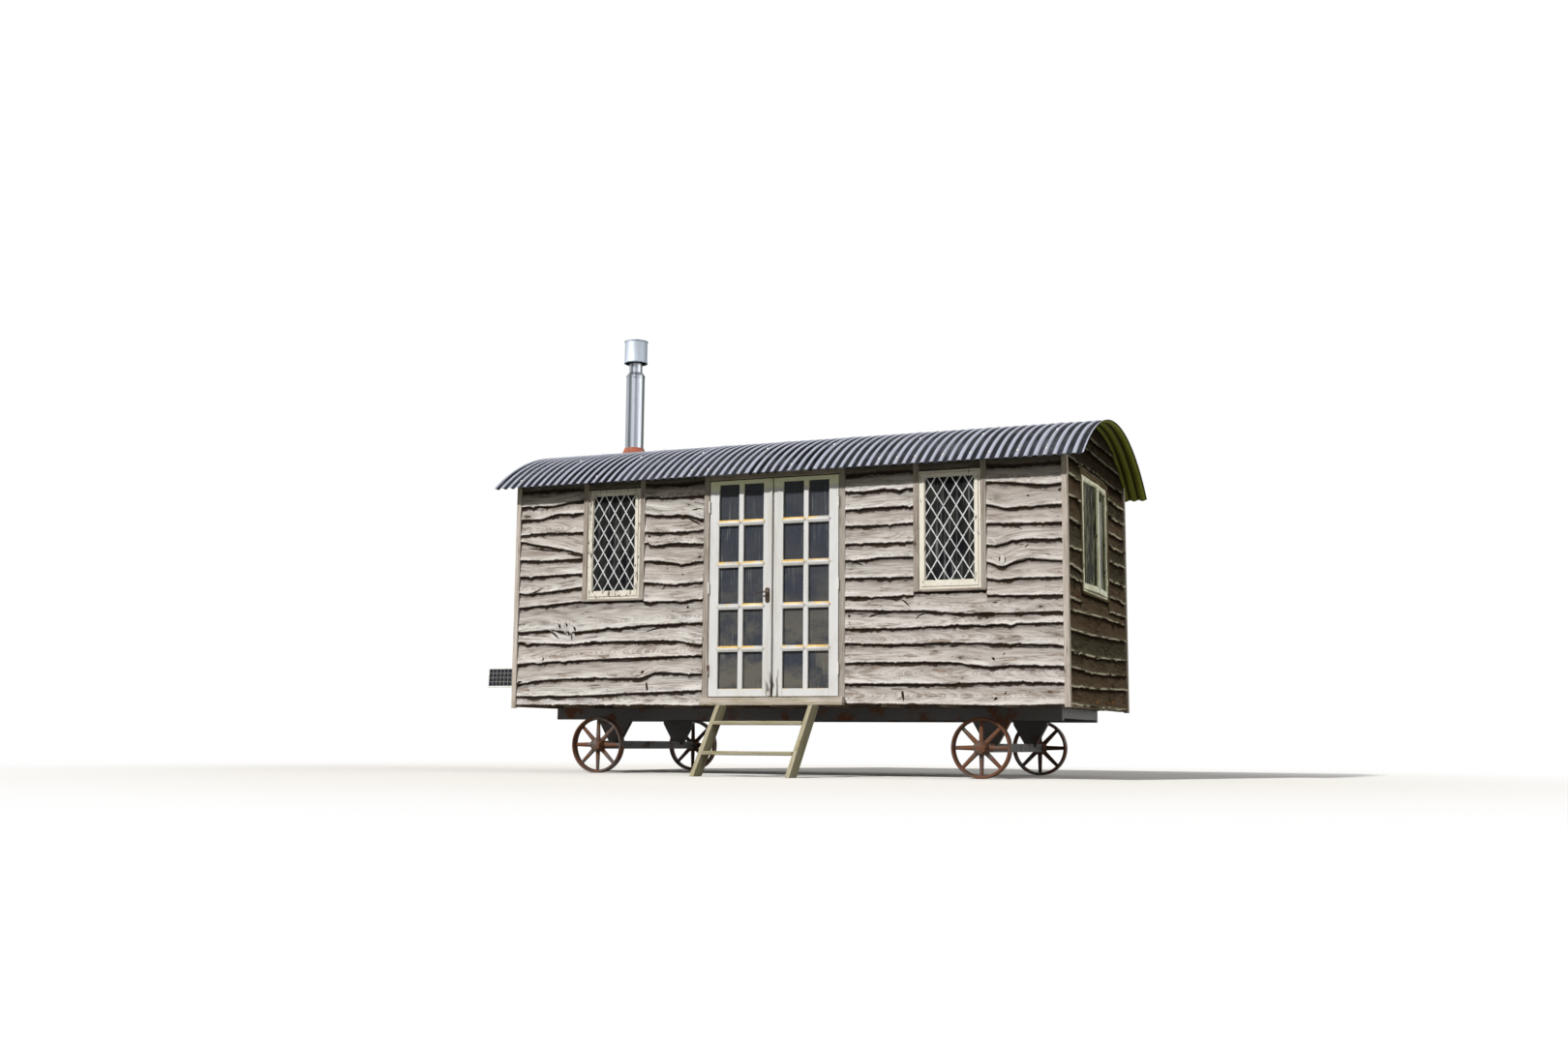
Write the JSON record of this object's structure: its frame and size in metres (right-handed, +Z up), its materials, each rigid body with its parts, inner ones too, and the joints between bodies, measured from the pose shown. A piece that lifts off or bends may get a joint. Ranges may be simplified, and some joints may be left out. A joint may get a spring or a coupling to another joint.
{
  "type": "shepherds hut",
  "caption": "Timber hut on spoked wheels with lapped waney boards, curved corrugated roof, glazed French doors, lattice windows, steps and a metal flue.",
  "frame": {"origin": "ground level, in the middle of the whole model's outline (roof, steps and solar panel included)", "axes": "+X along the hut towards the gable with the window, +Y towards the back wall, so the doors and steps face -Y, +Z up"},
  "size_m": [5.5228, 3.0864, 4.06],
  "materials": {
    "waney_boards": "rough weathered silver-grey boards with waney edges",
    "trim_timber": "weathered grey battens, posts and frames",
    "lining_timber": "sawn boards, matt",
    "floor_timber": "sawn boards and joists, matt",
    "white_paint": "white gloss paint on wood, worn and dirty",
    "cream_paint": "cream paint on wood",
    "door_glass": "clear glass before a dark room",
    "window_glass": "clear glass with diamond lead cames",
    "roof_steel": "anthracite coated corrugated steel, satin",
    "flue_steel": "bright stainless steel",
    "boot_silicone": "orange-red silicone, matt",
    "dark_bronze": "dark bronze, worn",
    "cast_iron": "painted cast iron with rust at the edges",
    "chassis_steel": "black painted steel with rust",
    "step_timber": "weathered grey softwood",
    "solar_cells": "dark blue cells under glass in a pale aluminium frame",
    "bracket_aluminium": "mill finish"
  },
  "bodies": {
    "root": {"chassis": "chassis_steel", "axles": "chassis_steel", "wheel_left_front": "cast_iron", "wheel_left_back": "cast_iron", "wheel_right_front": "cast_iron", "wheel_right_back": "cast_iron", "floor": "floor_timber", "front_wall_left": "lining_timber", "front_wall_right": "lining_timber", "front_wall_over_door": "trim_timber", "back_wall": "lining_timber", "left_gable_wall": "lining_timber", "right_gable_wall": "lining_timber", "front_cladding_left": "waney_boards", "front_cladding_right": "waney_boards", "back_cladding": "waney_boards", "left_cladding": "waney_boards", "right_cladding": "waney_boards", "corner_posts": "trim_timber", "window_trim": "trim_timber", "door_frame": "trim_timber", "door_sill": "trim_timber", "frame_hinges": "dark_bronze", "left_window": "cream_paint", "right_window": "cream_paint", "gable_window": "cream_paint", "window_glass": "window_glass", "roof_deck": "lining_timber", "roof_sheets_left": "roof_steel", "roof_sheets_middle": "roof_steel", "roof_sheets_right": "roof_steel", "flue_pipe": "flue_steel", "flue_boot": "boot_silicone", "flue_cowl": "flue_steel", "step_stringers": "step_timber", "step_treads": "step_timber", "solar_panel": "solar_cells", "solar_bracket": "bracket_aluminium"},
    "left_leaf": {"left_door": "white_paint", "left_door_glass": "door_glass", "left_door_knuckles": "dark_bronze", "lever_plate": "dark_bronze"},
    "right_leaf": {"right_door": "white_paint", "right_door_glass": "door_glass", "right_door_knuckles": "dark_bronze"},
    "lever": {"door_lever": "dark_bronze"}
  },
  "joints": [
    {"name": "left_door_hinge", "type": "hinge", "parent": "root", "child": "left_leaf", "pos_m": [-0.4594, -0.90427, 1.548], "axis": [0, 0, -1], "range_deg": [0, 105]},
    {"name": "right_door_hinge", "type": "hinge", "parent": "root", "child": "right_leaf", "pos_m": [0.7046, -0.90427, 1.548], "axis": [0, 0, 1], "range_deg": [0, 105]},
    {"name": "lever_pivot", "type": "hinge", "parent": "left_leaf", "child": "lever", "pos_m": [0.0756, -0.89477, 1.5], "axis": [0, -1, 0], "range_deg": [0, 40], "stiffness_Nm_per_rad": 1.5, "springref_deg": -20.05}
  ]
}
